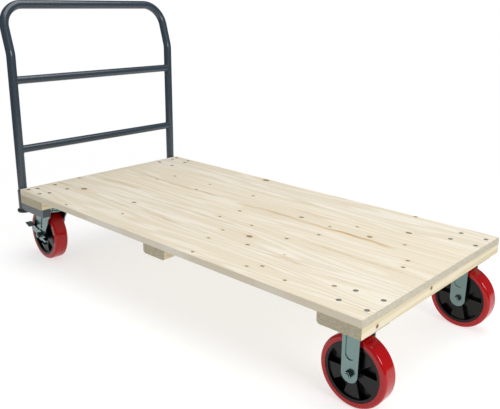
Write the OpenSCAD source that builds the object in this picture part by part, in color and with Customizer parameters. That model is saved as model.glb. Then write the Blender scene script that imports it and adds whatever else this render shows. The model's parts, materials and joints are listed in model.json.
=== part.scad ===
// Wooden platform cart with a lift-out tube handle, two rigid and two swivel casters.
// Millimetres. +X runs to the front end, +Z up, the floor is Z = 0, and the origin is
// at the middle of the cart's overall box, on the floor.

/* [Deck] */
// Length of the deck, along the boards
deck_l = 1524; // [1200:1:1900]
// Width of the deck, across the boards
deck_w = 762; // [600:1:1000]
// Thickness of a deck board
board_t = 22; // [18:1:38]
// Gap left at each seam between two boards
seam_gap = 0.8; // [0.4:0.1:3]
// Small chamfer along each long edge of a board
board_ease = 1; // [0.5:0.5:3]

/* [Cleats] */
// Thickness of the three cross cleats under the deck
cleat_t = 30; // [25:1:45]
// Width of the cleat under the front end
front_cleat_w = 130; // [125:1:180]
// Width of the cleat under the middle
middle_cleat_w = 100; // [60:1:150]
// Width of the cleat under the rear end
rear_cleat_w = 148; // [140:1:180]
// Distance of the middle cleat's centre in front of the deck's centre
middle_cleat_x = 16; // [-100:1:100]
// Radius of the rounded lower edges that face inwards
cleat_round = 10; // [2:1:20]
// Diameter of the screws that hold the boards to the cleats
screw_d = 4.5; // [3:0.5:6]
// Diameter of the screws' heads
screw_head_d = 9; // [7:0.5:12]
// Depth that a screw reaches into its board
screw_bite = 14; // [8:1:16]

/* [Wheels] */
// Diameter over the tread
wheel_d = 198; // [160:1:220]
// Width of the tread
tread_w = 50.8; // [40:0.1:58]
// Thickness of the tread, from the core to the floor
tread_t = 17; // [10:0.5:22]
// Radius of the tread's shoulders
tread_shoulder = 8.5; // [3:0.5:11]
// Length of the hub, between the fork's legs
hub_l = 61; // [59:0.5:70]
// Diameter of the hub boss
hub_d = 46; // [40:1:60]
// Width of the raised rim round the core
rim_w = 8; // [5:0.5:14]
// Depth of a spoke's face below the rim
spoke_drop = 5; // [2:0.5:10]
// Thickness of the web at the bottom of the pockets
web_t = 10; // [6:1:20]
// Width of a spoke at the hub
spoke_root_w = 20; // [12:1:26]
// Width of a spoke at the rim
spoke_rim_w = 52; // [20:1:60]

/* [Axles] */
// Diameter of the axle bolt
axle_d = 12.7; // [10:0.1:14]
// Outside diameter of the sleeve round the axle bolt
sleeve_d = 19; // [17:0.1:22]
// Outside diameter of the bearing in the hub
bearing_d = 28; // [25:0.5:32]
// Running clearance on a radius
running_gap = 0.06; // [0.03:0.01:0.1]

/* [Casters] */
// Height from the floor to the underside of the cleats
caster_h = 234; // [220:1:260]
// Length of the caster's top plate, along the cart
plate_l = 114.3; // [108:0.1:120]
// Width of the caster's top plate
plate_w = 101.6; // [95:0.1:106]
// Thickness of the caster's top plate
plate_t = 6.3; // [5:0.1:8]
// Spacing of the plate bolts along the cart
plate_bolt_x = 82; // [76:0.5:90]
// Spacing of the plate bolts across the cart
plate_bolt_y = 73; // [67:0.5:78]
// Thickness of the fork's sheet steel
fork_t = 5; // [4:0.1:6]
// Gap between the hub and each leg of the fork
hub_gap = 0.4; // [0.3:0.1:1.5]
// Width of a leg at the axle
leg_w = 49; // [40:1:56]
// Width of a rigid caster's leg under its plate
leg_top_w = 53; // [44:1:60]
// Width of the pressed groove in a rigid caster's leg
groove_w = 30; // [16:1:34]
// Depth of the pressed grooves
groove_depth = 2.4; // [1:0.1:3]
// Distance of the front axle behind the front edge of the deck
front_axle_in = 62; // [60:1:110]
// Distance of the casters' centres in from the deck's sides
caster_in = 88; // [87:1:120]

/* [Swivel casters] */
// Distance of the swivel axes in front of the rear edge of the deck
swivel_in = 75; // [70:1:80]
// Distance of the axle behind the swivel axis
trail = 50; // [30:1:60]
// Resting turn of the swivel casters
swivel_turn = -3.5; // [-20:0.5:20]
// Radius of the fork's crown
crown_r = 51; // [46:1:52]
// Diameter of the bearing balls
ball_d = 9.5; // [7:0.5:10]
// Number of balls in a swivel bearing
ball_count = 20; // [12:1:22]
// Radius of the circle of balls
ball_circle_r = 36; // [33:0.5:37]
// Diameter of the kingpin
kingpin_d = 16; // [12:0.5:20]

/* [Brakes] */
// Thickness of the brake lever's sheet steel
lever_t = 3.2; // [2:0.1:4]
// Height of the lever's strip
lever_w = 26; // [20:1:32]
// Reach of the pedal end behind the axle
pedal_reach = 80; // [60:1:90]
// Reach of the release end in front of the axle
release_reach = 62; // [50:1:80]
// Width of the pedal
pedal_w = 24; // [16:1:34]
// Slope of the lever at rest, pedal end up
lever_slope = 18; // [5:1:25]

/* [Handle] */
// Outside diameter of the handle's bent tube
handle_tube_d = 31.8; // [28:0.1:34]
// Outside diameter of the crossbars
crossbar_d = 28.6; // [20:0.1:31]
// Wall of the handle's tubes
tube_wall = 2; // [1.2:0.1:3]
// Distance of the uprights' centres in from the deck's sides
handle_inset = 20.2; // [15:0.1:22]
// Height of the top bar's centre above the deck
handle_h = 665; // [620:1:780]
// Height above the deck at which the uprights start to lean
lean_start_h = 494; // [450:1:520]
// Centreline radius of the bend between an upright and its leaning part
lean_bend_r = 91; // [56:7:147]
// Centreline radius of the two corners of the top bar
corner_r = 84; // [60:1:100]
// Height of the upper crossbar's centre above the deck
upper_bar_h = 400; // [250:1:430]
// Height of the lower crossbar's centre above the deck
lower_bar_h = 145; // [60:1:230]

/* [Handle brackets] */
// Wall of the sleeve that an upright drops into
sleeve_wall = 2.6; // [2:0.1:4]
// Gap between an upright and its sleeve, on a radius
sleeve_gap = 0.3; // [0.2:0.05:0.5]
// Gap between a sleeve and the rear edge of the deck
bracket_gap = 0.3; // [0.1:0.1:3]
// Distance of a sleeve's mouth below the top of the deck
mouth_drop = 10; // [2:1:20]
// Depth of the bracket's arm under the rear cleat
arm_h = 30; // [22:1:34]
// Width of the bracket's arm
arm_w = 30; // [24:1:34]
// Thickness of the arm's steel
arm_t = 3; // [2:0.1:4]
// Reach of the arm in front of the rear edge of the deck
arm_reach = 140; // [118:1:146]
// Diameter of the cap under a sleeve
cap_d = 50; // [42:1:52]
// Height of the cap under a sleeve
cap_h = 13; // [8:1:16]
// Diameter of the bolts through the deck
bolt_d = 8; // [6:0.5:9]
// Diameter of the bolts' heads
bolt_head_d = 17; // [14:0.5:20]

/* [Hidden] */
$fn = 64;

LEFT = -1;
RIGHT = 1;
SIDES = [LEFT, RIGHT];
eps = 0.01;
hair = 0.05;        // fit of a fastener in its hole, on a radius
board_count = 5;
spoke_count = 5;

// Heights
deck_z = caster_h + cleat_t + board_t;
board_z = deck_z - board_t;
plate_z = caster_h - plate_t;
wheel_r = wheel_d / 2;
arm_z = caster_h - arm_h;
cap_z = arm_z - cap_h;
sleeve_z = cap_z + cap_h;

// Handle: the sleeves stand behind the rear edge of the deck
sleeve_in_r = handle_tube_d / 2 + sleeve_gap;
sleeve_out_r = sleeve_in_r + sleeve_wall;
upright_back = sleeve_out_r + bracket_gap;
upright_y = deck_w / 2 - handle_inset;
lean_z = deck_z + lean_start_h;
top_bar_z = deck_z + handle_h;
// The uprights' upper parts lean back 7 for every 24 that they rise, which is 25 along the tube
lean_angle = atan2(7, 24);
lean_back = (top_bar_z - lean_z) * 7 / 24;
lean_len = round((top_bar_z - lean_z) * 25 / 24 * 1000) / 1000;

// The overall box runs from the back of the top bar to the front of the wheels
box_rear = -deck_l / 2 - upright_back - lean_back - handle_tube_d / 2;
box_front = max(deck_l / 2, deck_l / 2 - front_axle_in + wheel_r);
deck_x = -(box_rear + box_front) / 2;
front_x = deck_x + deck_l / 2;
rear_x = deck_x - deck_l / 2;
upright_x = rear_x - upright_back;

// Casters
caster_y = deck_w / 2 - caster_in;
front_axle_x = front_x - front_axle_in;
swivel_x = rear_x + swivel_in;
leg_in = hub_l / 2 + hub_gap;
leg_out = leg_in + fork_t;
race_gap = 0.3;
race_drop = 14;                       // from the plate's underside to the crown
crown_top_z = plate_z - race_drop;
crown_z = crown_top_z - fork_t;
ball_z = crown_top_z + ball_d / 2 - 2;
core_r = wheel_r - tread_t;

// Fasteners
washer_d = 19;
washer_t = 1.6;
nut_d = 14.6;
nut_h = 6.5;
axle_nut_d = 21.9;
axle_nut_h = 11;
axle_head_h = 8;
kingpin_head_h = 3;
kingpin_nut_h = 8;
bolt_tail = 3;

// ---------- shared shapes ----------

module rounded_rect(l, w, r) {
    square([l - 2 * r, w], center = true);
    square([l, w - 2 * r], center = true);
    for (x = [-1, 1], y = [-1, 1]) translate([x * (l / 2 - r), y * (w / 2 - r)]) circle(r);
}

// The four bolt places of one caster plate
module at_plate_bolts() {
    for (x = [-1, 1], y = [-1, 1]) translate([x * plate_bolt_x / 2, y * plate_bolt_y / 2, 0]) children();
}

// The centres of all four casters
module at_casters() {
    for (s = SIDES) {
        translate([front_axle_x, s * caster_y, 0]) children();
        translate([swivel_x, s * caster_y, 0]) children();
    }
}

module at_caster_bolts() { at_casters() at_plate_bolts() children(); }

// The two bolts that hold each bracket's arm under the rear cleat
bracket_bolt_xs = [rear_x + 25, rear_x + 102];
module at_bracket_bolts() {
    for (s = SIDES, x = bracket_bolt_xs) translate([x, s * upright_y, 0]) children();
}

board_pitch = deck_w / board_count;
screw_rows_x = [front_x - front_cleat_w / 2, deck_x + middle_cleat_x, rear_x + rear_cleat_w / 2];
// Boards 2 to 4 are screwed to every cleat; the caster bolts hold boards 1 and 5 at the ends
function screw_held(row, i) = row == 1 || (i > 0 && i < board_count - 1);
module at_screws() {
    for (row = [0:2], i = [0:board_count - 1], k = [-1, 1])
        if (screw_held(row, i))
            translate([screw_rows_x[row], -deck_w / 2 + board_pitch * (i + 0.5 + k * 0.28), 0]) children();
}

// Turn a shape drawn for the wheel's own place (axle along Y, at the origin) into a front wheel
module at_front_wheel(s) { translate([front_axle_x, s * caster_y, wheel_r]) children(); }

// Everything that swivels with a rear caster is drawn with the swivel axis at the origin
module at_swivel(s) { translate([swivel_x, s * caster_y, 0]) rotate([0, 0, swivel_turn]) children(); }
module at_rear_wheel(s) { at_swivel(s) translate([-trail, 0, wheel_r]) children(); }

// A cylinder along Y between two places
module y_cylinder(r, y0, y1) { translate([0, y1, 0]) rotate([90, 0, 0]) cylinder(r = r, h = y1 - y0); }
// A flat outline in X and Z, made into a plate along Y between two places
module y_plate(y0, y1) { translate([0, y1, 0]) rotate([90, 0, 0]) linear_extrude(y1 - y0) children(); }

// The same on one side of the wheel, between two distances from its middle plane
module side_plate(side, y0, y1) {
    y_plate(side > 0 ? y0 : -y1, side > 0 ? y1 : -y0) children();
}

// ---------- deck ----------

module bolt_hole(z0, z1) { translate([0, 0, z0]) cylinder(r = bolt_d / 2 + hair, h = z1 - z0); }

// Shallow dished seat that a bolt head is pulled down into
bolt_head_h = 2.4;
bolt_seat = 2;
module bolt_seat_cut() {
    translate([0, 0, deck_z - bolt_seat]) cylinder(r = bolt_head_d / 2 + hair, h = bolt_seat + 1);
}

module deck_board(i) {
    w = board_pitch - seam_gap;
    c = board_ease;
    y0 = -deck_w / 2 + board_pitch * i + seam_gap / 2;
    color("#E6DCC0") difference() {
        translate([rear_x, y0, board_z]) rotate([90, 0, 90]) linear_extrude(deck_l)
            polygon([[c, 0], [w - c, 0], [w, c], [w, board_t - c],
                     [w - c, board_t], [c, board_t], [0, board_t - c], [0, c]]);
        at_caster_bolts() bolt_hole(board_z - 1, deck_z + 1);
        at_caster_bolts() bolt_seat_cut();
        at_bracket_bolts() bolt_hole(board_z - 1, deck_z + 1);
        at_bracket_bolts() bolt_seat_cut();
        at_screws() translate([0, 0, board_z - 1])
            cylinder(r = screw_d / 2 + hair, h = screw_bite + 1 + hair);
    }
}

// A cleat from x0 to x1; the lower edges named in rounds are rounded over
module cleat(x0, x1, round_rear, round_front) {
    w = x1 - x0;
    r = cleat_round;
    color("#E3D3A6") difference() {
        translate([x0, deck_w / 2, caster_h]) rotate([90, 0, 0]) linear_extrude(deck_w) union() {
            translate([0, r]) square([w, cleat_t - r]);
            translate([round_rear ? r : 0, 0])
                square([w - (round_rear ? r : 0) - (round_front ? r : 0), r + eps]);
            if (round_rear) translate([r, r]) circle(r);
            if (round_front) translate([w - r, r]) circle(r);
        }
        at_caster_bolts() bolt_hole(caster_h - 1, board_z + 1);
        at_bracket_bolts() bolt_hole(caster_h - 1, board_z + 1);
        at_screws() translate([0, 0, caster_h - 1]) cylinder(r = screw_d / 2 + hair, h = cleat_t + 2);
    }
}

module front_cleat() { cleat(front_x - front_cleat_w, front_x, true, false); }
module rear_cleat() { cleat(rear_x, rear_x + rear_cleat_w, false, true); }
module middle_cleat() {
    c = deck_x + middle_cleat_x;
    cleat(c - middle_cleat_w / 2, c + middle_cleat_w / 2, true, true);
}

module cleat_screws() {
    color("silver") at_screws() {
        translate([0, 0, caster_h - eps]) cylinder(r = screw_d / 2, h = cleat_t + screw_bite);
        translate([0, 0, caster_h - 2.5]) cylinder(r = screw_head_d / 2, h = 2.5);
    }
}

// A round-headed bolt let down into the deck, its shank ending at z0
module deck_bolt(z0) {
    translate([0, 0, z0]) cylinder(r = bolt_d / 2, h = deck_z - z0 - bolt_seat + eps);
    translate([0, 0, deck_z - bolt_seat]) cylinder(r = bolt_head_d / 2, h = bolt_head_h - 0.8);
    translate([0, 0, deck_z - bolt_seat + bolt_head_h - 0.8])
        cylinder(r1 = bolt_head_d / 2, r2 = bolt_head_d / 2 - 2, h = 0.8);
}

module hex_nut(af_corner, h, bore) {
    difference() {
        cylinder(d = af_corner, h = h, $fn = 6);
        translate([0, 0, -1]) cylinder(d = bore, h = h + 2);
    }
}

module caster_bolts() {
    color("#8C8C84") at_caster_bolts() deck_bolt(plate_z - washer_t - nut_h - bolt_tail);
}

module caster_washers() {
    color("silver") at_caster_bolts() translate([0, 0, plate_z - washer_t]) difference() {
        cylinder(d = washer_d, h = washer_t);
        translate([0, 0, -1]) cylinder(r = bolt_d / 2 + hair, h = washer_t + 2);
    }
}

module caster_nuts() {
    color("silver") at_caster_bolts() translate([0, 0, plate_z - washer_t - nut_h])
        hex_nut(nut_d, nut_h, bolt_d + 2 * hair);
}

// ---------- handle brackets ----------

// A sleeve behind the deck with a channel-shaped arm under the rear cleat
module handle_bracket(s) {
    color("#3E4D57") translate([0, s * upright_y, 0]) difference() {
        union() {
            translate([upright_x, 0, sleeve_z])
                cylinder(r = sleeve_out_r, h = deck_z - mouth_drop - sleeve_z);
            translate([upright_x, -arm_w / 2, arm_z]) cube([rear_x + arm_reach - upright_x, arm_w, arm_h]);
        }
        translate([upright_x, 0, sleeve_z - 1]) cylinder(r = sleeve_in_r, h = deck_z - sleeve_z);
        // The arm is open underneath, so that its nuts can be reached
        translate([rear_x + arm_t, -arm_w / 2 + arm_t, arm_z - 1])
            cube([arm_reach - 2 * arm_t, arm_w - 2 * arm_t, arm_h - arm_t + 1]);
        for (x = bracket_bolt_xs) translate([x, 0, 0]) bolt_hole(caster_h - arm_t - 1, caster_h + 1);
    }
}

// A thick round cap that closes each sleeve and carries the upright on its plug
plug_h = 12;
module bracket_caps() {
    r = cap_d / 2;
    e = cap_h / 2 - 1;
    color("#2F3336") for (s = SIDES) translate([upright_x, s * upright_y, cap_z]) {
        rotate_extrude() union() {
            square([r - e, cap_h]);
            translate([0, e]) square([r, cap_h - 2 * e]);
            translate([r - e, e]) circle(e);
            translate([r - e, cap_h - e]) circle(e);
        }
        translate([0, 0, cap_h - eps]) cylinder(r = sleeve_in_r - hair, h = plug_h);
    }
}

module bracket_bolts() {
    color("#8C8C84") at_bracket_bolts() deck_bolt(caster_h - arm_t - washer_t - nut_h - bolt_tail);
}

module bracket_nuts() {
    color("silver") at_bracket_bolts() translate([0, 0, caster_h - arm_t - washer_t - nut_h]) difference() {
        union() {
            cylinder(d = nut_d, h = nut_h, $fn = 6);
            translate([0, 0, nut_h - eps]) cylinder(d = washer_d, h = washer_t + eps);
        }
        translate([0, 0, -1]) cylinder(r = bolt_d / 2 + hair, h = nut_h + washer_t + 2);
    }
}

// ---------- handle ----------

// The bent tube as a solid of radius r: two uprights, two leaning parts and the top bar.
// A lean's bend takes up lean_cut of the tube on both sides of its corner.
lean_cut = lean_bend_r / 7;                    // 1 / 7 is the tangent of half the lean
upright_foot_z = sleeve_z + plug_h;
module handle_path(r, overrun) {
    for (s = SIDES) translate([upright_x, s * upright_y, 0]) {
        translate([0, 0, upright_foot_z - overrun])
            cylinder(r = r, h = lean_z - lean_cut - upright_foot_z + overrun);
        translate([-lean_bend_r, 0, lean_z - lean_cut]) rotate([90, 0, 0])
            rotate_extrude(angle = lean_angle) translate([lean_bend_r, 0]) circle(r);
    }
    // Everything above the lean's bends is drawn in their leaning frame
    translate([upright_x, 0, lean_z]) rotate([0, -lean_angle, 0]) {
        for (s = SIDES) translate([0, s * upright_y, 0]) {
            translate([0, 0, lean_cut]) cylinder(r = r, h = lean_len - corner_r - lean_cut);
            // Corner of the top bar, bent towards the middle
            translate([0, -s * corner_r, lean_len - corner_r]) rotate([90, 0, s > 0 ? 90 : -90])
                rotate_extrude(angle = 90) translate([corner_r, 0]) circle(r);
        }
        translate([0, 0, lean_len]) y_cylinder(r, -upright_y + corner_r, upright_y - corner_r);
    }
}

module handle_tube() {
    color("#3E4D57") difference() {
        handle_path(handle_tube_d / 2, 0);
        handle_path(handle_tube_d / 2 - tube_wall, 1);
    }
}

// A crossbar between the uprights, its ends cut to their curve
module crossbar(h) {
    color("#3E4D57") translate([upright_x, 0, deck_z + h]) difference() {
        y_cylinder(crossbar_d / 2, -upright_y, upright_y);
        y_cylinder(crossbar_d / 2 - tube_wall, -upright_y - 1, upright_y + 1);
        for (s = SIDES) translate([0, s * upright_y, -crossbar_d])
            cylinder(r = handle_tube_d / 2, h = 2 * crossbar_d);
    }
}

module upper_crossbar() { crossbar(upper_bar_h); }
module lower_crossbar() { crossbar(lower_bar_h); }

// ---------- casters ----------

module caster_plate() {
    difference() {
        translate([0, 0, plate_z]) linear_extrude(plate_t) rounded_rect(plate_l, plate_w, 7);
        at_plate_bolts() bolt_hole(plate_z - 1, caster_h + 1);
    }
}

module rigid_plate(s) {
    color("#A9B2B4") translate([front_axle_x, s * caster_y, 0]) caster_plate();
}

// Outline of a rigid caster's leg, axle at the origin, up to the plate
module rigid_leg_outline() {
    top = plate_z - wheel_r;
    polygon([[-leg_w / 2, 0], [leg_w / 2, 0], [leg_top_w / 2, top], [-leg_top_w / 2, top]]);
    circle(d = leg_w);
}

// Outline of a groove of width w that runs from height z0 up to z1, round at the bottom
module groove_outline(w, z0, z1) {
    translate([0, z0 + w / 2]) circle(d = w);
    translate([-w / 2, z0 + w / 2]) square([w, z1 - z0 - w / 2]);
}

// Height above the axle at which a rigid caster's groove starts
groove_start = 38;
module rigid_fork(s) {
    leg_top = plate_z - wheel_r;
    color("#A9B2B4") at_front_wheel(s) difference() {
        union() {
            for (side = [-1, 1]) {
                side_plate(side, leg_in, leg_out) rigid_leg_outline();
                // The groove stands proud on the inside
                side_plate(side, leg_in - groove_depth, leg_in + eps)
                    groove_outline(groove_w - 4, groove_start + 4, leg_top - fork_t);
            }
            translate([-leg_top_w / 2, -leg_out, leg_top - fork_t]) cube([leg_top_w, 2 * leg_out, fork_t]);
        }
        for (side = [-1, 1])
            side_plate(side, leg_out - groove_depth, leg_out + 1)
                groove_outline(groove_w, groove_start, leg_top - fork_t - 4);
        y_cylinder(axle_d / 2 + hair, -leg_out - 1, leg_out + 1);
    }
}

// The swivel bearing's fixed half: a ring under the plate with a groove for the balls
race_r_in = ball_circle_r - 7;
race_r_out = ball_circle_r + 7;
module swivel_plate(s) {
    color("#A9B2B4") translate([swivel_x, s * caster_y, 0]) difference() {
        union() {
            caster_plate();
            translate([0, 0, ball_z]) cylinder(r = race_r_out, h = plate_z - ball_z + eps);
        }
        translate([0, 0, ball_z - 1]) cylinder(r = race_r_in, h = plate_z - ball_z + 1);
        translate([0, 0, ball_z]) rotate_extrude()
            translate([ball_circle_r, 0]) circle(d = ball_d + 2 * hair);
        translate([0, 0, plate_z - 1]) cylinder(r = kingpin_d / 2, h = plate_t + 2);
        translate([0, 0, caster_h - kingpin_head_h]) cylinder(r = kingpin_d / 2 + 5, h = kingpin_head_h + 1);
    }
}

module swivel_balls() {
    color("silver") for (s = SIDES) translate([swivel_x, s * caster_y, ball_z])
        for (k = [0:ball_count - 1]) rotate([0, 0, k * 360 / ball_count])
            translate([ball_circle_r, 0, 0]) sphere(d = ball_d, $fn = 24);
}

module kingpins() {
    color("silver") for (s = SIDES) translate([swivel_x, s * caster_y, 0]) {
        translate([0, 0, crown_z - kingpin_nut_h])
            cylinder(r = kingpin_d / 2, h = caster_h - crown_z + kingpin_nut_h - eps);
        translate([0, 0, caster_h - kingpin_head_h]) cylinder(r = kingpin_d / 2 + 5, h = kingpin_head_h);
    }
}

module kingpin_nuts() {
    color("silver") for (s = SIDES) translate([swivel_x, s * caster_y, crown_z - kingpin_nut_h])
        hex_nut(27, kingpin_nut_h - race_gap, kingpin_d);
}

// Outline of a swivel fork's leg: narrow at the axle, sweeping forward to the crown.
// The axle is at the origin and the swivel axis is at x = trail.
leg_flare = sqrt(pow(crown_r, 2) - pow(leg_out, 2));   // half the crown's chord over a leg
waist_r = 48;                                          // hollow curve of the leg's front edge
module swivel_leg_outline() {
    top = crown_top_z - wheel_r;
    shoulder = top - 34;
    front = trail + leg_flare;
    difference() {
        polygon([
            [-leg_w / 2, 0], [leg_w / 2, 0], [front - 14, shoulder - 8], [front, top - fork_t], [front, top],
            [trail - leg_flare, top], [trail - leg_flare, top - fork_t - 4], [-leg_w / 2 - 3, shoulder]
        ]);
        translate([front + 22, shoulder - 34]) circle(r = waist_r);
    }
    circle(d = leg_w);
}

// A narrow groove pressed into each leg, leaning forward with it
rib_lean = 17;
rib_w = 14;
rib_start = 30;
module swivel_fork(s) {
    top = crown_top_z - wheel_r;
    color("#A9B2B4") difference() {
        union() {
            at_rear_wheel(s) for (side = [-1, 1])
                side_plate(side, leg_in, leg_out) swivel_leg_outline();
            at_swivel(s) {
                translate([0, 0, crown_z]) cylinder(r = crown_r, h = fork_t);
                // Skirt round the balls
                translate([0, 0, crown_top_z - eps]) difference() {
                    cylinder(r = race_r_out + 3.5, h = 9);
                    translate([0, 0, -1]) cylinder(r = race_r_out + 1.5, h = 11);
                }
            }
        }
        at_rear_wheel(s) {
            y_cylinder(axle_d / 2 + hair, -leg_out - 1, leg_out + 1);
            for (side = [-1, 1]) side_plate(side, leg_out - groove_depth, leg_out + 1)
                rotate(-rib_lean) groove_outline(rib_w, rib_start, top + 2);
        }
        at_swivel(s) {
            translate([0, 0, crown_z - 1]) cylinder(r = kingpin_d / 2 + running_gap, h = fork_t + 2);
            translate([0, 0, ball_z]) rotate_extrude()
                translate([ball_circle_r, 0]) circle(d = ball_d + 2 * race_gap);
        }
    }
}

// Axle bolt: its head is on the right-hand leg, its nut on the left, beyond reach of what sits there
module axle_bolt(stack) {
    y_cylinder(axle_d / 2, -leg_out - stack - axle_nut_h - 2, leg_out + eps);
    translate([0, leg_out + axle_head_h, 0]) rotate([90, 0, 0])
        cylinder(d = axle_nut_d, h = axle_head_h, $fn = 6);
}

module axle_nut(stack) {
    translate([0, -leg_out - stack, 0]) rotate([90, 0, 0]) hex_nut(axle_nut_d, axle_nut_h, axle_d);
}

module axle_sleeve() {
    difference() {
        y_cylinder(sleeve_d / 2, -leg_in, leg_in);
        y_cylinder(axle_d / 2 + hair, -leg_in - 1, leg_in + 1);
    }
}

// The brake lever turns on the rear axle bolt, between the leg and the nut
lever_gap = 0.3;
lever_y = -leg_out - lever_gap;
rear_stack = lever_t + 2 * lever_gap;

module front_axle_bolts() { color("silver") for (s = SIDES) at_front_wheel(s) axle_bolt(0); }
module front_axle_nuts() { color("silver") for (s = SIDES) at_front_wheel(s) axle_nut(0); }
module front_axle_sleeves() { color("silver") for (s = SIDES) at_front_wheel(s) axle_sleeve(); }
module rear_axle_bolt(s) { color("silver") at_rear_wheel(s) axle_bolt(rear_stack); }
module rear_axle_nut(s) { color("silver") at_rear_wheel(s) axle_nut(rear_stack); }
module rear_axle_sleeve(s) { color("silver") at_rear_wheel(s) axle_sleeve(); }

// A flat strip over the axle with a pedal bent out at the rear and a release tab at the front
module brake_lever(s) {
    boss_r = 20;
    release_w = 14;
    color("#B4BCBE") at_rear_wheel(s) rotate([0, lever_slope, 0]) difference() {
        union() {
            y_plate(lever_y - lever_t, lever_y) union() {
                translate([-pedal_reach + 14, -lever_w / 2]) square([pedal_reach + release_reach - 20, lever_w]);
                translate([release_reach - 10, -lever_w / 2 + 6]) square([10, lever_w - 12]);
                translate([-pedal_reach, lever_w / 2 - 12]) square([18, 12]);
                circle(boss_r);
            }
            translate([-pedal_reach, lever_y - pedal_w, lever_w / 2 - lever_t]) cube([30, pedal_w, lever_t]);
            translate([release_reach - 22, lever_y - release_w, lever_w / 2 - lever_t]) cube([22, release_w, lever_t]);
            translate([release_reach - 22, lever_y - release_w, -lever_w / 2]) cube([16, release_w, lever_t]);
        }
        y_cylinder(axle_d / 2 + running_gap, lever_y - lever_t - 1, lever_y + 1);
    }
}

// ---------- wheels, drawn with the axle along Y through the origin ----------

// A ring about the Y axis from a profile of radius and height
module y_ring() { rotate([90, 0, 0]) rotate_extrude() children(); }

module tread() {
    half = tread_w / 2;
    sh = min(tread_shoulder, tread_t / 2);
    color("#B0121B") y_ring() union() {
        translate([core_r, -half + sh]) square([tread_t, tread_w - 2 * sh]);
        translate([core_r, -half]) square([tread_t - sh, tread_w]);
        for (e = [-1, 1]) translate([wheel_r - sh, e * (half - sh)]) circle(sh);
    }
}

rim_half = tread_w / 2 - 1;
pocket_r_out = core_r - rim_w;
pocket_r_in = hub_d / 2;
module spoke_outline() {
    polygon([[pocket_r_in - 3, -spoke_root_w / 2], [pocket_r_out + 1, -spoke_rim_w / 2],
             [pocket_r_out + 1, spoke_rim_w / 2], [pocket_r_in - 3, spoke_root_w / 2]]);
}

module wheel_core() {
    color("#17181A") difference() {
        union() {
            y_ring() union() {
                translate([bearing_d / 2 + 1, -hub_l / 2]) square([pocket_r_in - bearing_d / 2 - 1, hub_l]);
                translate([bearing_d / 2 + 1, -web_t / 2]) square([core_r - bearing_d / 2 - 2, web_t]);
                translate([pocket_r_out, -rim_half]) square([rim_w, 2 * rim_half]);
            }
            intersection() {
                y_plate(-rim_half + spoke_drop, rim_half - spoke_drop)
                    for (k = [0:spoke_count - 1]) rotate(270 + k * 360 / spoke_count) spoke_outline();
                y_cylinder(pocket_r_out + eps, -rim_half, rim_half);
            }
            y_cylinder(bearing_d / 2 + 2, -hub_l / 2, hub_l / 2);
        }
        y_cylinder(bearing_d / 2, -hub_l / 2 - 1, hub_l / 2 + 1);
    }
}

module wheel_bearing() {
    color("#8A8D8F") difference() {
        y_cylinder(bearing_d / 2, -hub_l / 2 + 0.5, hub_l / 2 - 0.5);
        y_cylinder(sleeve_d / 2 + running_gap, -hub_l, hub_l);
    }
}

// ---------- nodes ----------

deck_board(0);  // deck_board_1
deck_board(1);  // deck_board_2
deck_board(2);  // deck_board_3
deck_board(3);  // deck_board_4
deck_board(4);  // deck_board_5
front_cleat();
middle_cleat();
rear_cleat();
cleat_screws();
caster_bolts();
caster_washers();
caster_nuts();
handle_bracket(LEFT);  // handle_bracket_left
handle_bracket(RIGHT);  // handle_bracket_right
bracket_caps();
bracket_bolts();
bracket_nuts();
rigid_plate(LEFT);  // rigid_plate_left
rigid_plate(RIGHT);  // rigid_plate_right
rigid_fork(LEFT);  // rigid_fork_left
rigid_fork(RIGHT);  // rigid_fork_right
front_axle_bolts();
front_axle_nuts();
front_axle_sleeves();
swivel_plate(LEFT);  // swivel_plate_left
swivel_plate(RIGHT);  // swivel_plate_right
kingpins();
kingpin_nuts();
swivel_balls();
swivel_fork(LEFT);  // swivel_fork_left
swivel_fork(RIGHT);  // swivel_fork_right
rear_axle_bolt(LEFT);  // rear_axle_bolt_left
rear_axle_bolt(RIGHT);  // rear_axle_bolt_right
rear_axle_nut(LEFT);  // rear_axle_nut_left
rear_axle_nut(RIGHT);  // rear_axle_nut_right
rear_axle_sleeve(LEFT);  // rear_axle_sleeve_left
rear_axle_sleeve(RIGHT);  // rear_axle_sleeve_right
brake_lever(LEFT);  // brake_lever_left
brake_lever(RIGHT);  // brake_lever_right
handle_tube();
upper_crossbar();
lower_crossbar();
at_front_wheel(LEFT) tread();  // front_tread_left
at_front_wheel(LEFT) wheel_core();  // front_core_left
at_front_wheel(LEFT) wheel_bearing();  // front_bearing_left
at_front_wheel(RIGHT) tread();  // front_tread_right
at_front_wheel(RIGHT) wheel_core();  // front_core_right
at_front_wheel(RIGHT) wheel_bearing();  // front_bearing_right
at_rear_wheel(LEFT) tread();  // rear_tread_left
at_rear_wheel(LEFT) wheel_core();  // rear_core_left
at_rear_wheel(LEFT) wheel_bearing();  // rear_bearing_left
at_rear_wheel(RIGHT) tread();  // rear_tread_right
at_rear_wheel(RIGHT) wheel_core();  // rear_core_right
at_rear_wheel(RIGHT) wheel_bearing();  // rear_bearing_right
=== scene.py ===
# %% [markdown]
# # A wooden platform cart with a lift-out tube handle
#
# The cart is a pine deck on three cleats, with a bent tube handle standing in two sleeves behind
# its rear edge, two rigid casters at the front and two braked swivel casters at the rear.
#
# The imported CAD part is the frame. Its steel, plastic and rubber pieces are shown as they are.
# The deck boards are drawn again here, because wood wants its own surface values for the grain.

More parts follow.
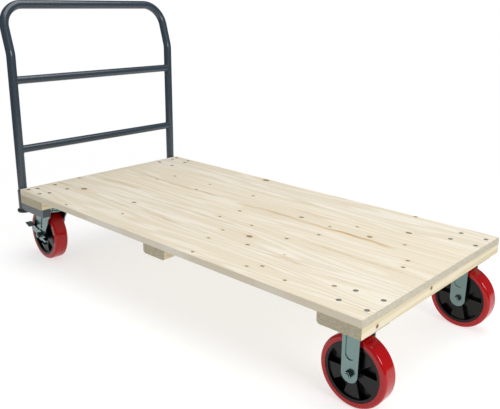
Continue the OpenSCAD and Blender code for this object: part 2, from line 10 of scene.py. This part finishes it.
# %% Load the frame
import json
import bmesh
import bpy
import numpy as np
from math import radians
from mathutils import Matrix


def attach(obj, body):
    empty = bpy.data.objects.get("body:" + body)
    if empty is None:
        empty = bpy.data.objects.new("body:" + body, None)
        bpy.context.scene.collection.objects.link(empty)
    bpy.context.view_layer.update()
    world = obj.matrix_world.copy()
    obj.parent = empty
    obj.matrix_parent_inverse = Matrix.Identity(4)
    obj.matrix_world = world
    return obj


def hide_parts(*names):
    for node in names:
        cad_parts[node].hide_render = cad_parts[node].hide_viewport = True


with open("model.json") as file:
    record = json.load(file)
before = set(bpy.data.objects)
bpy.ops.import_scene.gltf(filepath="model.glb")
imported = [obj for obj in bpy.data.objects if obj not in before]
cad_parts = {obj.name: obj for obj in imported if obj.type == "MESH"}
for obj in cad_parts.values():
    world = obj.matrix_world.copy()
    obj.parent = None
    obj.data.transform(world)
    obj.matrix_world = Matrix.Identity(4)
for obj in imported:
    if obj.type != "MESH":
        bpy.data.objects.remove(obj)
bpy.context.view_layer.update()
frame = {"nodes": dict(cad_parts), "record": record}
nodes = frame["nodes"]
slots = {entry["node"]: entry["material_slot"] for entry in frame["record"]["subparts"]}

MM = 0.001
DECK_L, DECK_W, BOARD_T = 1524 * MM, 762 * MM, 22 * MM
DECK_X, DECK_TOP = 23.94 * MM, 286 * MM          # the deck's centre and its top face
REAR_X, FRONT_X = DECK_X - DECK_L / 2, DECK_X + DECK_L / 2
BOARDS = 5
UPRIGHT_X, UPRIGHT_Y = -757.16 * MM, 360.8 * MM

# %% [markdown]
# ## Helpers
#
# Three small functions keep the rest short: one turns a web colour into the linear light values
# that a shader works in, one makes a mesh object from rings of points, and one adds a shader node.

# %% Helper functions
def linear(hex_code, alpha=1.0):
    """sRGB "#RRGGBB" to linear RGBA: c / 12.92 below 0.04045, else ((c + 0.055) / 1.055) ** 2.4."""
    c = np.array([int(hex_code[i:i + 2], 16) / 255 for i in (1, 3, 5)])
    c = np.where(c < 0.04045, c / 12.92, ((c + 0.055) / 1.055) ** 2.4)
    return (*c.tolist(), alpha)


def make_object(name, points, faces, smooth=True):
    """A mesh object at the origin from an (n, 3) array and a list of faces, turned outwards."""
    mesh = bpy.data.meshes.new(name)
    mesh.from_pydata(np.asarray(points).tolist(), [], faces)
    work = bmesh.new()
    work.from_mesh(mesh)
    bmesh.ops.recalc_face_normals(work, faces=work.faces)
    work.to_mesh(mesh)
    work.free()
    mesh.polygons.foreach_set("use_smooth", np.full(len(mesh.polygons), smooth))
    obj = bpy.data.objects.new(name, mesh)
    bpy.context.scene.collection.objects.link(obj)
    return obj


def ring_faces(rows, columns, join_rows=False):
    """Quads between neighbouring rings: point (r, c) has index r * columns + c, and c wraps round."""
    last = rows if join_rows else rows - 1
    r, c = np.meshgrid(np.arange(last), np.arange(columns), indexing="ij")
    r2, c2 = (r + 1) % rows, (c + 1) % columns
    quads = np.stack([r * columns + c, r2 * columns + c, r2 * columns + c2, r * columns + c2], -1)
    return quads.reshape(-1, 4).tolist()


def add(tree, kind, inputs=None, **settings):
    """Adds a node, sets its properties, and fills inputs by name or number with a value or a socket."""
    node = tree.nodes.new("ShaderNode" + kind)
    for key, value in settings.items():
        setattr(node, key, value)
    for key, value in (inputs or {}).items():
        if isinstance(value, bpy.types.NodeSocket):
            tree.links.new(value, node.inputs[key])
        else:
            node.inputs[key].default_value = value
    return node


def new_material(name):
    """An empty material and its node tree."""
    material = bpy.data.materials.new(name)
    material.use_nodes = True
    material.node_tree.nodes.clear()
    return material, material.node_tree


def output(tree, shader):
    add(tree, "OutputMaterial", {"Surface": shader.outputs[0]})


def ramp(tree, factor, stops):
    """A colour ramp over factor, with stops as (position, hex colour)."""
    node = add(tree, "ValToRGB", {"Fac": factor})
    bar = node.color_ramp.elements
    while len(bar) < len(stops):
        bar.new(0.5)
    for element, (position, code) in zip(bar, stops):
        element.position, element.color = position, linear(code)
    return node.outputs["Color"]


def maths(tree, operation, a, b=0.0, clamp=False):
    return add(tree, "Math", {0: a, 1: b}, operation=operation, use_clamp=clamp).outputs[0]


def mixed(tree, factor, a, b, blend="MIX"):
    """Colour a turned into colour b by factor."""
    node = add(tree, "Mix", {"Factor": factor}, data_type="RGBA", blend_type=blend)
    for name, value in (("A", a), ("B", b)):
        socket = [s for s in node.inputs if s.name == name and s.type == "RGBA"][0]
        if isinstance(value, bpy.types.NodeSocket):
            tree.links.new(value, socket)
        else:
            socket.default_value = value
    return [s for s in node.outputs if s.type == "RGBA"][0]


def stretched(tree, vector, scale, detail=3.0, roughness=0.5, distortion=0.0):
    """Noise over vector, with cells of 1 / scale metres along X, Y and Z."""
    place = add(tree, "Mapping", {"Vector": vector, "Scale": scale})
    noise = add(tree, "TexNoise", {"Vector": place.outputs[0], "Scale": 1.0, "Detail": detail,
                                   "Roughness": roughness, "Distortion": distortion})
    return noise.outputs["Fac"]


print("helpers ready")

# %% [markdown]
# ## Deck boards
#
# Five planed pine boards lie side by side. Each is a section swept along X: a flat bottom, two
# small chamfers and a top that is divided every few millimetres. The top's points carry three
# values of their own that the wood's shader reads: how near a knot is, how far the grain bends
# sideways round it, and how brown the wood is stained. Knots could also be placed inside the
# shader, one distance after another, but values on points cost the shader nothing and let the
# grain flow round each knot.

# %% Knots and stains
# Knots: distance from the rear edge, from the left edge, and radius, in millimetres
KNOTS = np.array([
    (565, 745, 14), (1235, 755, 8), (260, 530, 7), (450, 545, 6), (675, 550, 7), (465, 460, 6),
    (245, 450, 6), (765, 385, 7), (1105, 385, 7), (960, 480, 9), (1085, 470, 6), (1150, 530, 6),
    (1230, 480, 9), (1300, 595, 10), (1345, 495, 6), (1415, 390, 7), (1430, 340, 7), (895, 305, 6),
    (1055, 290, 7), (760, 295, 6), (860, 210, 6), (960, 225, 11), (1135, 185, 4), (1005, 170, 7),
    (880, 130, 6), (430, 195, 9), (160, 170, 13), (505, 90, 6), (1145, 80, 7), (1115, 50, 6),
    (1250, 50, 6), (1365, 110, 7), (930, 20, 6), (285, 15, 6), (15, 245, 7)]) * MM
# Stains: start and end along the deck, distance from the left edge, half width, strength
STAINS = [
    (100, 600, 452, 7, 0.35), (490, 600, 450, 5, 0.5), (680, 1350, 452, 8, 0.45),
    (1080, 1350, 449, 5, 0.6), (0, 120, 160, 5, 0.5), (480, 730, 160, 5, 0.45),
    (865, 905, 160, 4, 0.6), (1080, 1250, 160, 5, 0.45), (60, 330, 310, 6, 0.4),
    (1130, 1480, 310, 6, 0.2), (650, 880, 267, 8, 0.3), (880, 1080, 530, 8, 0.3)]


def board_values(x, y):
    """For points at x and y from the deck's rear left corner: how many of its own radii the
    nearest knot is away (a knot is 1.35 times as long as wide), the sideways shift of the grain
    round the knots, and the stain. A knot of radius r shifts the grain by
    r * side * exp(-(dx / 5r)^2 - (dy / 3r)^2). A stain wanders from its line by
    4 sin(x / 0.05) + 2 sin(x / 0.017) millimetres."""
    dx = x[:, None] - KNOTS[:, 0]
    dy = y[:, None] - KNOTS[:, 1]
    r = 0.75 * KNOTS[:, 2]
    near = np.sqrt((dx / 1.35) ** 2 + dy ** 2) / r
    side = dy / (np.abs(dy) + 0.6 * r)
    shift = (r * side * np.exp(-(dx / (5 * r)) ** 2 - (dy / (3 * r)) ** 2)).sum(1)
    stain = np.zeros(len(x))
    y = y + 4 * MM * np.sin(x / 0.05) + 2 * MM * np.sin(x / 0.017)
    for start, end, middle, half, strength in STAINS:
        along = np.clip((x - start * MM) / 0.06, 0, 1) * np.clip((end * MM - x) / 0.06, 0, 1)
        stain += strength * along * np.exp(-((y - middle * MM) / (half * MM)) ** 2)
    return near.min(1), shift, stain


print(len(KNOTS), "knots and", len(STAINS), "stains")

# %% Boards
SEAM, CHAMFER = 0.8 * MM, 1.0 * MM
STEP = 4 * MM
pitch = DECK_W / BOARDS


def make_board(i):
    """Board i as a closed section, repeated along X, with flat ends."""
    y0 = -DECK_W / 2 + pitch * i + SEAM / 2
    y1 = y0 + pitch - SEAM
    top = np.linspace(y0 + CHAMFER, y1 - CHAMFER, int(pitch / STEP))
    low, high = DECK_TOP - BOARD_T, DECK_TOP
    section = np.array([(y1, high - CHAMFER), (y1, low + CHAMFER), (y1 - CHAMFER, low),
                        (y0 + CHAMFER, low), (y0, low + CHAMFER), (y0, high - CHAMFER)])
    section = np.vstack([np.stack([top, np.full(len(top), high)], 1), section])
    xs = np.linspace(REAR_X, FRONT_X, int(DECK_L / STEP))
    rows, columns = len(xs), len(section)
    points = np.empty((rows, columns, 3))
    points[:, :, 0] = xs[:, None]
    points[:, :, 1:] = section
    points = points.reshape(-1, 3)
    faces = ring_faces(rows, columns)
    faces += [list(range(columns)), list(range((rows - 1) * columns, rows * columns))]
    board = make_object(f"pine_board_{i + 1}", points, faces, smooth=False)
    values = board_values(points[:, 0] - REAR_X, points[:, 1] + DECK_W / 2)
    for name, data in zip(("knot", "shift", "stain"), values):
        board.data.attributes.new(name, "FLOAT", "POINT").data.foreach_set("value", data)
    return board


boards = [make_board(i) for i in range(BOARDS)]
print("boards:", [len(b.data.polygons) for b in boards], "faces")

# %% [markdown]
# ## Weld beads
#
# Both crossbars are welded to the uprights. A bead follows the curve where the two tubes meet, so
# its centre line is that curve itself, and the bead is a thin round section swept along it.

# %% Weld beads
BAR_R, TUBE_R, BEAD_R = 14.3 * MM, 15.9 * MM, 1.8 * MM
BAR_ZS = (DECK_TOP + 400 * MM, DECK_TOP + 145 * MM)


def make_bead(name, side, z):
    """The curve at angle t: x = a cos t, z = a sin t, y = side * (Y - sqrt(R^2 - x^2)), with a
    the bar's radius and R the upright's; a circle of radius BEAD_R is swept along it."""
    t = np.linspace(0, 2 * np.pi, 72, endpoint=False)
    u = np.linspace(0, 2 * np.pi, 10, endpoint=False)
    radius = BEAD_R * (1 + 0.12 * np.sin(24 * t))
    a = BAR_R + 0.4 * MM
    x, zz = a * np.cos(t), a * np.sin(t)
    y = UPRIGHT_Y - np.sqrt(TUBE_R ** 2 - x ** 2) - 0.3 * MM
    out = np.stack([np.cos(t), np.zeros_like(t), np.sin(t)], 1)
    along = np.array([0.0, 1.0, 0.0])
    ring = (np.cos(u)[None, :, None] * out[:, None, :] + np.sin(u)[None, :, None] * along)
    centre = np.stack([x, y, zz], 1)[:, None, :]
    points = (centre + radius[:, None, None] * ring).reshape(-1, 3)
    points *= (1, side, 1)
    points += (UPRIGHT_X, 0, z)
    return make_object(name, points, ring_faces(len(t), len(u), join_rows=True))


beads = [make_bead(f"weld_{'upper' if k == 0 else 'lower'}_{'left' if s < 0 else 'right'}", s, z)
         for k, z in enumerate(BAR_ZS) for s in (-1, 1)]
print(len(beads), "weld beads")

# %% [markdown]
# ## Wood
#
# Planed pine is nearly white, with yellow growth rings that a flat-sawn board shows as long
# flames, fine darker fibres, small brown knots and a few resin-brown streaks. The rings are a sine
# of the sideways place, bent by slow noise; the fibres are noise stretched two hundred times
# along the grain. Each board takes a place of its own in that pattern.

# %% Pine for the deck
def wood_rings(tree, x, y, z, board, width, shift):
    """Ring brightness 0 to 1: sin(2 pi (y + bend) / width), with bend a slow noise of x and y."""
    place = add(tree, "CombineXYZ", {0: x, 1: y, 2: maths(tree, "MULTIPLY", board, 7.3)}).outputs[0]
    slow = stretched(tree, place, (0.9, 9.0, 1.0), detail=2.0)
    bend = maths(tree, "MULTIPLY", maths(tree, "SUBTRACT", slow, 0.5), shift)
    phase = maths(tree, "MULTIPLY", maths(tree, "ADD", y, bend), 6.2832 / width)
    wave = maths(tree, "SINE", phase)
    return maths(tree, "MULTIPLY_ADD", wave, 0.5), place


deck_pine, tree = new_material("planed_pine_deck")
coords = add(tree, "TexCoord")
xyz = add(tree, "SeparateXYZ", {0: coords.outputs["Object"]}).outputs
knot = add(tree, "Attribute", attribute_name="knot").outputs["Fac"]
shift = add(tree, "Attribute", attribute_name="shift").outputs["Fac"]
stain = add(tree, "Attribute", attribute_name="stain").outputs["Fac"]
board = maths(tree, "FLOOR", maths(tree, "DIVIDE", maths(tree, "ADD", xyz[1], DECK_W / 2), pitch))
grain_y = maths(tree, "SUBTRACT", xyz[1], shift)
rings, place = wood_rings(tree, xyz[0], grain_y, xyz[2], board, 0.034, 0.3)
rings = maths(tree, "ADD", rings, 0.5)
fibres = stretched(tree, place, (4.0, 120.0, 40.0), detail=5.0, roughness=0.7)
patches = stretched(tree, place, (1.5, 12.0, 1.0), detail=3.0)
tone = add(tree, "TexWhiteNoise", {"W": board}, noise_dimensions="1D").outputs["Value"]
colour = ramp(tree, rings, [(0.0, "#E4DFD4"), (0.6, "#E2DCCF"), (0.9, "#DED6C6"), (1.0, "#D8CFBC")])
colour = mixed(tree, maths(tree, "MULTIPLY", maths(tree, "SUBTRACT", fibres, 0.45, clamp=True), 0.9),
               colour, linear("#C6B798"))
lines = stretched(tree, place, (3.0, 190.0, 10.0), detail=2.0, roughness=0.4)
lines = ramp(tree, lines, [(0.0, "#000000"), (0.6, "#000000"), (0.7, "#FFFFFF")])
colour = mixed(tree, maths(tree, "MULTIPLY", lines, 0.6), colour, linear("#BFA57A"))
colour = mixed(tree, maths(tree, "MULTIPLY", maths(tree, "SUBTRACT", patches, 0.45, clamp=True), 1.2),
               colour, linear("#D9CCB0"))
colour = mixed(tree, maths(tree, "MULTIPLY", tone, 0.25), colour, linear("#DACDB0"))
broken = stretched(tree, place, (14.0, 60.0, 3.0), detail=3.0, roughness=0.7)
stain = maths(tree, "MULTIPLY", stain, maths(tree, "MULTIPLY", broken, 1.9), clamp=True)
colour = mixed(tree, stain, colour, linear("#B8925C"))
# Knots: a red-brown heart, a darker rim and a yellow halo
edge = stretched(tree, coords.outputs["Object"], (160.0, 160.0, 160.0), detail=2.0)
knot = maths(tree, "ADD", knot, maths(tree, "MULTIPLY", maths(tree, "SUBTRACT", edge, 0.5), 0.7))
halo = ramp(tree, maths(tree, "DIVIDE", knot, 3.0), [(0.0, "#FFFFFF"), (0.36, "#BBBBBB"), (1.0, "#000000")])
colour = mixed(tree, maths(tree, "MULTIPLY", halo, 0.4), colour, linear("#CDB88E"))
heart = ramp(tree, knot, [(0.0, "#93785A"), (0.6, "#86694A"), (0.92, "#57432F"), (1.0, "#655039")])
inside = maths(tree, "LESS_THAN", knot, 1.0)
colour = mixed(tree, maths(tree, "MULTIPLY", inside, 0.85), colour, heart)
# The sawn ends show the rings cut across, a little darker
facing = add(tree, "SeparateXYZ", {0: coords.outputs["Normal"]}).outputs[0]
end = maths(tree, "GREATER_THAN", maths(tree, "ABSOLUTE", facing), 0.7)
end_place = add(tree, "CombineXYZ", {0: xyz[1], 1: xyz[2], 2: board}).outputs[0]
end_rings = ramp(tree, stretched(tree, end_place, (60.0, 500.0, 3.0), detail=3.0),
                 [(0.35, "#CBC5B5"), (0.65, "#B3AA94")])
colour = mixed(tree, end, colour, end_rings)
bump = add(tree, "Bump", {"Strength": 0.1, "Distance": 0.0004, "Height": fibres})
shader = add(tree, "BsdfPrincipled", {"Base Color": colour, "Roughness": 0.62, "IOR": 1.5,
                                      "Specular IOR Level": 0.35, "Normal": bump.outputs[0]})
output(tree, shader)
print("deck pine:", len(tree.nodes), "nodes")

# %% [markdown]
# The cleats are the same wood, cut from a yellower stock, with the grain across the cart. The
# front one shows two knots on its face.

# %% Pine for the cleats
cleat_pine, tree = new_material("planed_pine_cleat")
coords = add(tree, "TexCoord")
xyz = add(tree, "SeparateXYZ", {0: coords.outputs["Object"]}).outputs
side_place = add(tree, "CombineXYZ", {0: xyz[1], 1: xyz[2], 2: xyz[0]}).outputs[0]
slow = stretched(tree, side_place, (1.2, 22.0, 8.0), detail=2.0)
bend = maths(tree, "MULTIPLY", slow, 0.06)
phase = maths(tree, "MULTIPLY", maths(tree, "ADD", maths(tree, "ADD", xyz[2], xyz[0]), bend), 6.2832 / 0.021)
rings = maths(tree, "MULTIPLY_ADD", maths(tree, "SINE", phase), 0.5)
rings = maths(tree, "ADD", rings, 0.5)
fibres = stretched(tree, side_place, (8.0, 700.0, 700.0), detail=4.0, roughness=0.6)
colour = ramp(tree, rings, [(0.0, "#E6DFCB"), (0.7, "#E2D8BE"), (1.0, "#D8CBA8")])
colour = mixed(tree, maths(tree, "MULTIPLY", maths(tree, "SUBTRACT", fibres, 0.35, clamp=True), 0.5),
               colour, linear("#D2C09A"))
for knot_y, knot_z, radius in ((-0.314, 0.246, 0.006), (-0.051, 0.257, 0.006)):
    gap = add(tree, "VectorMath", {0: coords.outputs["Object"], 1: (FRONT_X, knot_y, knot_z)},
              operation="DISTANCE").outputs["Value"]
    spot = ramp(tree, maths(tree, "DIVIDE", gap, radius * 2),
                [(0.0, "#FFFFFF"), (0.42, "#EEEEEE"), (0.5, "#666666"), (1.0, "#000000")])
    colour = mixed(tree, spot, colour, linear("#6B4426"))
facing = add(tree, "SeparateXYZ", {0: coords.outputs["Normal"]}).outputs[1]
end = maths(tree, "GREATER_THAN", maths(tree, "ABSOLUTE", facing), 0.7)
end_rings = ramp(tree, stretched(tree, coords.outputs["Object"], (90.0, 3.0, 400.0), detail=3.0),
                 [(0.35, "#BDB59E"), (0.65, "#A59B80")])
colour = mixed(tree, end, colour, end_rings)
shader = add(tree, "BsdfPrincipled", {"Base Color": colour, "Roughness": 0.62, "IOR": 1.5,
                                      "Specular IOR Level": 0.35})
output(tree, shader)
print("cleat pine:", len(tree.nodes), "nodes")

# %% [markdown]
# ## Metal, plastic and rubber
#
# Each real finish has a material of its own. Sheared and drilled steel and moulded plastic never
# have a knife edge, so their shaders round the edges by a fraction of a millimetre.

# %% Other materials
def plain(name, colour, roughness, metallic=0.0, ior=1.5, edge=0.0, coat=0.0, bump_cell=0.0,
          bump_depth=0.0, vary=0.0, **more):
    """A principled material. edge rounds the corners to that radius in metres; bump_cell and
    bump_depth give the size and depth of a fine unevenness; vary is the spread of roughness."""
    material, tree = new_material(name)
    inputs = {"Base Color": linear(colour), "Roughness": roughness, "Metallic": metallic, "IOR": ior,
              "Coat Weight": coat, "Coat Roughness": 0.08, **more}
    place = add(tree, "TexCoord").outputs["Object"]
    if edge:
        inputs["Normal"] = add(tree, "Bevel", {"Radius": edge}, samples=4).outputs[0]
    if bump_cell:
        cells = stretched(tree, place, (1 / bump_cell,) * 3, detail=2.0)
        under = {"Normal": inputs["Normal"]} if edge else {}
        inputs["Normal"] = add(tree, "Bump", {"Strength": 0.5, "Distance": bump_depth,
                                              "Height": cells, **under}).outputs[0]
    if vary:
        cloud = stretched(tree, place, (90.0,) * 3, detail=4.0)
        spread = maths(tree, "MULTIPLY", maths(tree, "SUBTRACT", cloud, 0.5), 2 * vary)
        inputs["Roughness"] = maths(tree, "ADD", spread, roughness, clamp=True)
    output(tree, add(tree, "BsdfPrincipled", inputs))
    return material


materials = {
    "deck_pine": deck_pine,
    "cleat_pine": cleat_pine,
    # Slate blue gloss enamel, sprayed, with a slight orange peel
    "blue_enamel": plain("slate_blue_enamel", "#2B3945", 0.3, coat=0.5, edge=0.0006,
                         bump_cell=0.006, bump_depth=0.00006),
    # Matt black moulded rubber
    "cap_rubber": plain("matt_black_rubber", "#24272A", 0.6, edge=0.0008),
    # Cast polyurethane, deep red and glossy, with light scattered a little way in
    "red_tread": plain("red_polyurethane", "#A8030A", 0.13, ior=1.45, coat=0.0,
                       bump_cell=0.02, bump_depth=0.00008, **{"Subsurface Weight": 0.15,
                       "Subsurface Radius": (0.006, 0.001, 0.001), "Subsurface Scale": 1.0}),
    # Moulded black nylon
    "black_core": plain("black_nylon", "#040405", 0.26, edge=0.0015, bump_cell=0.003,
                        bump_depth=0.00003, **{"Specular IOR Level": 0.3}),
    "bearing_steel": plain("turned_steel", "#9A9C9E", 0.35, metallic=1.0, edge=0.0005),
    "bolt_steel": plain("dull_grey_bolt_steel", "#86847E", 0.45, metallic=0.4, edge=0.0006, vary=0.1),
    "ball_steel": plain("polished_steel", "#D0D2D4", 0.12, metallic=1.0),
    "lever_zinc": plain("bright_zinc_plated_lever", "#7C8C90", 0.24, metallic=1.0, edge=0.0008, vary=0.03),
    "zinc_plate": plain("bright_zinc_plate", "#758A88", 0.22, metallic=1.0, edge=0.001, vary=0.03),
}
for node, obj in nodes.items():
    obj.material_slots[0].material = materials[slots[node]]
for i, piece in enumerate(boards):
    piece.data.materials.append(deck_pine)
    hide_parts(f"deck_board_{i + 1}")
    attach(piece, "deck")
for piece in beads:
    piece.data.materials.append(materials["blue_enamel"])
    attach(piece, "handle")
print(len(materials), "materials on", len(nodes), "nodes and", len(boards) + len(beads), "pieces")

# %% [markdown]
# ## Floor, light and camera
#
# The cart stands on a light table: a pale floor, lit a little from below, that fades into a white
# background, so shadows stay faint. One large soft light hangs
# above, a second brightens the front end, and the surroundings fill the rest.

# %% Floor
t = np.linspace(0, 2 * np.pi, 128, endpoint=False)
FLOOR_R = 4.0
floor = make_object("floor", np.stack([FLOOR_R * np.cos(t), FLOOR_R * np.sin(t), 0 * t], 1),
                    [list(range(len(t)))], smooth=False)
pale, tree = new_material("pale_floor")
place = add(tree, "TexCoord").outputs["Object"]
far = add(tree, "VectorMath", {0: place}, operation="LENGTH").outputs["Value"]
fade = add(tree, "MapRange", {"Value": far, "From Min": 1.3, "From Max": 2.6}, interpolation_type="SMOOTHSTEP")
matt = add(tree, "BsdfDiffuse", {"Color": (0.45, 0.45, 0.45, 1.0)})
glow = add(tree, "Emission", {"Color": (1.0, 1.0, 1.0, 1.0), "Strength": 0.62})
lit = add(tree, "AddShader", {0: matt.outputs[0], 1: glow.outputs[0]})
gone = add(tree, "BsdfTransparent")
output(tree, add(tree, "MixShader", {0: fade.outputs[0], 1: lit.outputs[0], 2: gone.outputs[0]}))
floor.data.materials.append(pale)
print("floor radius", FLOOR_R, "m")


# %% Lights
def area_light(name, place, target, size, power, colour="#FFFFFF"):
    """A square area light at place that points at target."""
    lamp = bpy.data.lights.new(name, "AREA")
    lamp.size, lamp.energy, lamp.color = size, power, linear(colour)[:3]
    obj = bpy.data.objects.new(name, lamp)
    back = np.array(place, float) - np.array(target, float)
    flat = np.hypot(back[0], back[1])
    obj.rotation_euler = (np.arctan2(flat, back[2]), 0.0, np.arctan2(back[1], back[0]) + np.pi / 2)
    obj.location = place
    bpy.context.scene.collection.objects.link(obj)
    return obj


area_light("top_light", (0.3, 0.2, 3.2), (0.0, 0.0, 0.2), 3.0, 75)
area_light("front_light", (3.0, -0.6, 1.6), (0.6, 0.0, 0.2), 1.0, 34)
area_light("left_light", (-1.2, -3.2, 1.4), (-0.2, 0.0, 0.3), 1.6, 1)

world = bpy.data.worlds.new("studio")
world.use_nodes = True
tree = world.node_tree
tree.nodes.clear()
path = add(tree, "LightPath").outputs
seen = maths(tree, "MAXIMUM", path["Is Camera Ray"], path["Is Transmission Ray"])
level = maths(tree, "SUBTRACT", 0.45, maths(tree, "MULTIPLY", path["Is Glossy Ray"], 0.28))
fill = add(tree, "Background", {"Color": (1.0, 1.0, 1.0, 1.0), "Strength": level})
white = add(tree, "Background", {"Color": (1.0, 1.0, 1.0, 1.0), "Strength": 1.0})
both = add(tree, "MixShader", {0: seen, 1: fill.outputs[0], 2: white.outputs[0]})
add(tree, "OutputWorld", {"Surface": both.outputs[0]})
bpy.context.scene.world = world
print("lights and white surroundings")

# %% Camera
lens = bpy.data.cameras.new("camera")
lens.lens, lens.sensor_width = 47.65, 36.0
lens.shift_x, lens.shift_y = -0.0442, -0.0352
camera = bpy.data.objects.new("camera", lens)
camera.location = (1.523, -1.5515, 0.9908)
camera.rotation_euler = (radians(74.02), radians(-0.99), radians(41.26))
bpy.context.scene.collection.objects.link(camera)
bpy.context.scene.camera = camera
bpy.context.scene.view_settings.view_transform = "Standard"
print("camera", tuple(round(v, 3) for v in camera.location))
